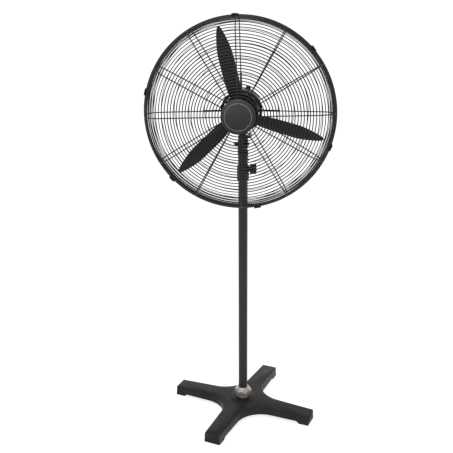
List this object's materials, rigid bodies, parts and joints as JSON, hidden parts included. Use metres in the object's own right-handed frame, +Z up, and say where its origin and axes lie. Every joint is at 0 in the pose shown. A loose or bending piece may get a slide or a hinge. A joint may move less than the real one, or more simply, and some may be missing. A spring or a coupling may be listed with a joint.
{
  "type": "pedestal fan",
  "caption": "Free-standing pedestal fan with a wire-guarded three-blade head that tilts and swings on a height-adjustable pole over a cast cross base.",
  "frame": {"origin": "on the floor, on the axis of the pole", "axes": "+Z up along the pole, the head blows towards -Y, the height knob is on +X"},
  "size_m": [0.7199, 0.6208, 1.6894],
  "materials": {
    "base_paint": "satin black enamel on cast iron",
    "tube_paint": "satin black powder coat",
    "chrome": "bright chrome plate",
    "rubber": "matte black",
    "knob_plastic": "moulded black",
    "badge_plastic": "smooth dark grey",
    "steel": "zinc plated",
    "nylon": "natural nylon",
    "neck_paint": "black enamel on cast metal",
    "motor_paint": "black enamel on cast aluminium",
    "bronze": "sintered bronze",
    "copper": "enamelled copper wire",
    "lamination": "stacked electrical steel",
    "gear_nylon": "moulded nylon",
    "case_plastic": "moulded black",
    "guard_wire": "black powder coat",
    "blade_metal": "dark painted sheet"
  },
  "bodies": {
    "base": {"base_casting": "base_paint", "foot_pads": "rubber", "base_socket": "chrome", "lock_nut": "chrome", "lock_nut_screw": "steel", "base_washer": "steel", "base_bolt": "steel", "pole_plug": "steel", "lower_pole": "tube_paint", "clamp_sleeve": "neck_paint", "guide_bush": "nylon"},
    "clamp_knob": {"height_knob": "knob_plastic", "height_knob_stud": "steel"},
    "mast": {"inner_tube": "chrome", "tube_glide": "nylon", "neck_casting": "neck_paint", "neck_screw": "steel", "tilt_bolt": "steel"},
    "tilt_handle": {"tilt_lever": "neck_paint"},
    "tilt_head": {"tilt_bracket": "neck_paint", "swivel_bush": "bronze", "ear_pin": "steel"},
    "head": {"motor_housing": "motor_paint", "swivel_pin": "steel", "motor_front_shield": "motor_paint", "motor_rear_shield": "motor_paint", "shield_screws": "steel", "shaft_bearings": "steel", "stator_core": "lamination", "stator_windings": "copper", "gearbox_case": "case_plastic", "gearbox_lid": "case_plastic", "rear_cover": "case_plastic", "cover_screws": "steel", "capacitor": "case_plastic", "speed_switch": "case_plastic", "cord_gland": "case_plastic", "rear_plate": "guard_wire", "plate_screws": "steel", "rear_guard": "guard_wire", "rim_band": "guard_wire", "front_inner_rings": "guard_wire", "front_guard": "guard_wire", "badge": "badge_plastic", "badge_screws": "steel", "guard_clips": "guard_wire"},
    "rotor": {"motor_shaft": "steel", "rotor_core": "lamination", "blade_hub": "motor_paint", "blade_1": "blade_metal", "blade_2": "blade_metal", "blade_3": "blade_metal", "blade_rivets": "steel", "hub_set_screw": "steel"},
    "crank_set": {"crank": "steel", "crank_gear": "gear_nylon"},
    "link": {"link_bar": "steel"},
    "worm_gear": {"worm_wheel": "gear_nylon"},
    "swing_button": {"swing_knob": "knob_plastic"},
    "speed_control": {"speed_knob": "knob_plastic"}
  },
  "joints": [
    {"name": "height_slide", "type": "slide", "parent": "base", "child": "mast", "axis": [0, 0, 1], "range_m": [0, 0.3]},
    {"name": "clamp_knob_turn", "type": "hinge", "parent": "base", "child": "clamp_knob", "pos_m": [0.03, 0, 1.082], "axis": [1, 0, 0], "range_deg": [0, 360]},
    {"name": "tilt", "type": "hinge", "parent": "mast", "child": "tilt_head", "pos_m": [0, 0, 1.182], "axis": [-1, 0, 0], "range_deg": [-15, 30]},
    {"name": "tilt_lever_turn", "type": "hinge", "parent": "mast", "child": "tilt_handle", "pos_m": [-0.025, 0, 1.182], "axis": [1, 0, 0], "range_deg": [0, 90]},
    {"name": "head_swing", "type": "hinge", "parent": "tilt_head", "child": "head", "pos_m": [0, 0, 1.23], "axis": [0, 0, 1], "range_deg": [-40, 40]},
    {"name": "blade_spin", "type": "hinge", "parent": "head", "child": "rotor", "pos_m": [0, -0.138, 1.325], "axis": [0, -1, 0], "continuous": true},
    {"name": "crank_turn", "type": "hinge", "parent": "head", "child": "crank_set", "pos_m": [0, 0.082, 1.226], "axis": [0, 0, 1], "range_deg": [-61, 61]},
    {"name": "link_turn", "type": "hinge", "parent": "crank_set", "child": "link", "pos_m": [0.01975, 0.082, 1.221], "axis": [0, 0, 1], "range_deg": [-61, 61]},
    {"name": "worm_wheel_turn", "type": "hinge", "parent": "head", "child": "worm_gear", "pos_m": [0.016, 0.06202, 1.325], "axis": [0, 0, 1], "range_deg": [-265, 265]},
    {"name": "swing_knob_pull", "type": "slide", "parent": "head", "child": "swing_button", "axis": [0, 0, 1], "range_m": [0, 0.008]},
    {"name": "speed_knob_turn", "type": "hinge", "parent": "head", "child": "speed_control", "pos_m": [-0.018, 0.13, 1.351], "axis": [0, 1, 0], "range_deg": [0, 135]}
  ],
  "couplings": [
    {"joint": "crank_turn", "follows": "head_swing", "ratio": -1.5},
    {"joint": "link_turn", "follows": "head_swing", "ratio": 1.5},
    {"joint": "worm_wheel_turn", "follows": "head_swing", "ratio": 6.5}
  ]
}
